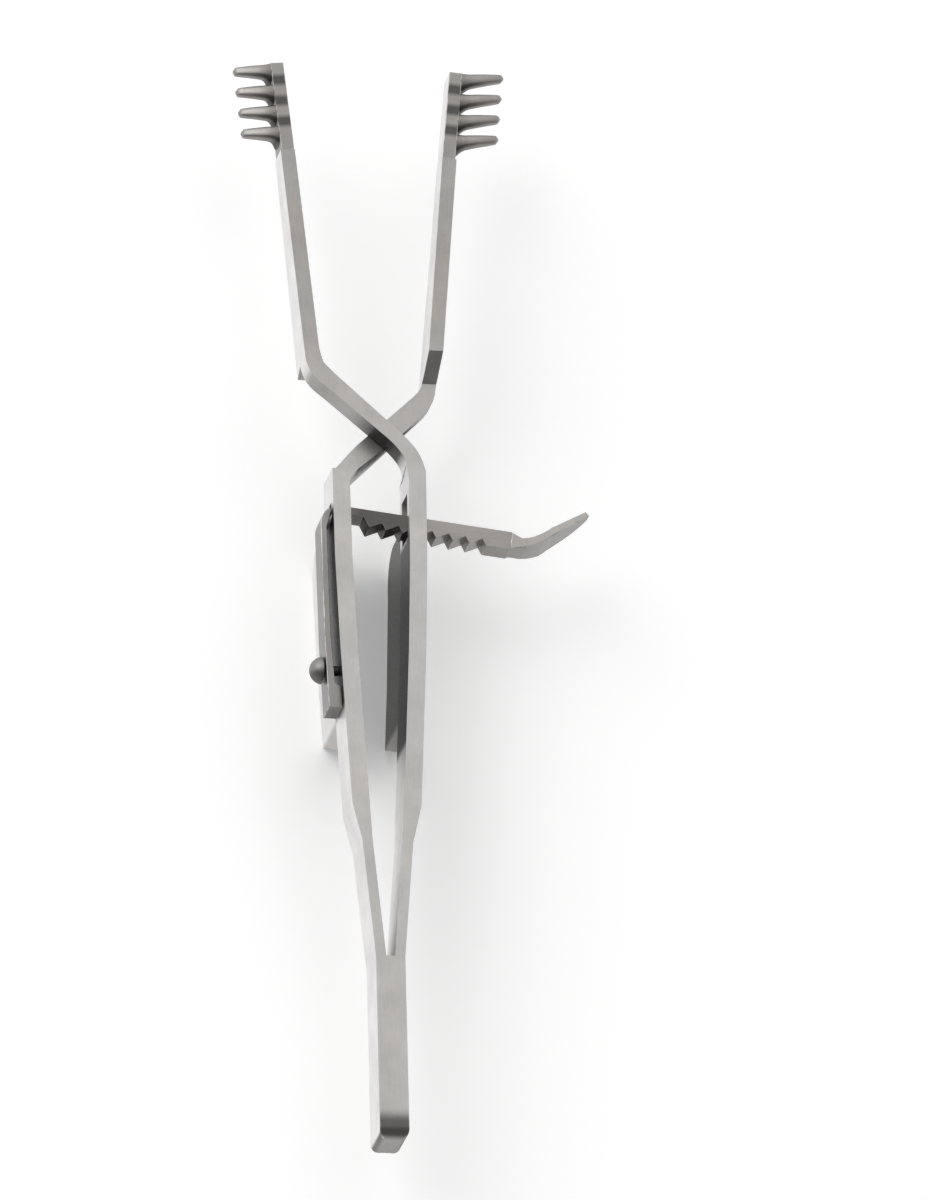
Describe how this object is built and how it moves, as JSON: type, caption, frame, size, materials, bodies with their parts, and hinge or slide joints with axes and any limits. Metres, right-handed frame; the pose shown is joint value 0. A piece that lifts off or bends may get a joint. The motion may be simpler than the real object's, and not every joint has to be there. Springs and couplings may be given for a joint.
{
  "type": "self-retaining retractor",
  "caption": "Cross-action surgical retractor with outward-pointing pronged combs, wide finger plates and a swinging ratchet bar with a thumb lever.",
  "frame": {"origin": "below the middle of the whole retractor, in the plane of the finger plates' deep edges, on which it lies", "axes": "+Y from the heel to the combs, +X towards the thumb lever, +Z from the finger plates' deep edges to the front faces"},
  "size_m": [0.0342, 0.1102, 0.012],
  "materials": {
    "arm_steel": "satin brushed along the arm",
    "heel_steel": "satin",
    "plate_steel": "fine lengthwise brushing",
    "comb_steel": "satin, slightly darker",
    "bar_steel": "smooth, half polished",
    "spring_steel": "smooth rolled strip",
    "screw_steel": "polished dome"
  },
  "bodies": {
    "heel": {"heel_spacer": "heel_steel", "left_heel_leg": "arm_steel", "right_heel_leg": "arm_steel"},
    "left_arm": {"left_arm": "arm_steel", "left_finger_plate": "plate_steel", "right_comb": "comb_steel", "ratchet_pivot_pin": "screw_steel", "spring_screw": "screw_steel"},
    "right_arm": {"right_arm": "arm_steel", "right_finger_plate": "plate_steel", "left_comb": "comb_steel"},
    "ratchet_bar": {"ratchet_bar": "bar_steel", "thumb_lever": "bar_steel"},
    "leaf_spring": {"leaf_spring": "spring_steel"}
  },
  "joints": [
    {"name": "left_arm_flex", "type": "hinge", "parent": "heel", "child": "left_arm", "pos_m": [-0.00521, -0.03108, 0.0095], "axis": [0, 0, 1], "range_deg": [-1.5, 4.3], "stiffness_Nm_per_rad": 0.05},
    {"name": "right_arm_flex", "type": "hinge", "parent": "heel", "child": "right_arm", "pos_m": [-0.00231, -0.03108, 0.0095], "axis": [0, 0, 1], "range_deg": [-4.3, 1.5]},
    {"name": "ratchet_swing", "type": "hinge", "parent": "left_arm", "child": "ratchet_bar", "pos_m": [-0.00738, 0.00872, 0.0095], "axis": [0, 0, 1], "range_deg": [0, 6], "stiffness_Nm_per_rad": 0.01},
    {"name": "leaf_spring_flex", "type": "hinge", "parent": "left_arm", "child": "leaf_spring", "pos_m": [-0.00766, -0.01148, 0.0095], "axis": [0, 0, 1], "range_deg": [0, 0.48]}
  ],
  "couplings": [
    {"joint": "right_arm_flex", "follows": "left_arm_flex", "ratio": -1},
    {"joint": "leaf_spring_flex", "follows": "ratchet_swing", "ratio": 0.08}
  ]
}
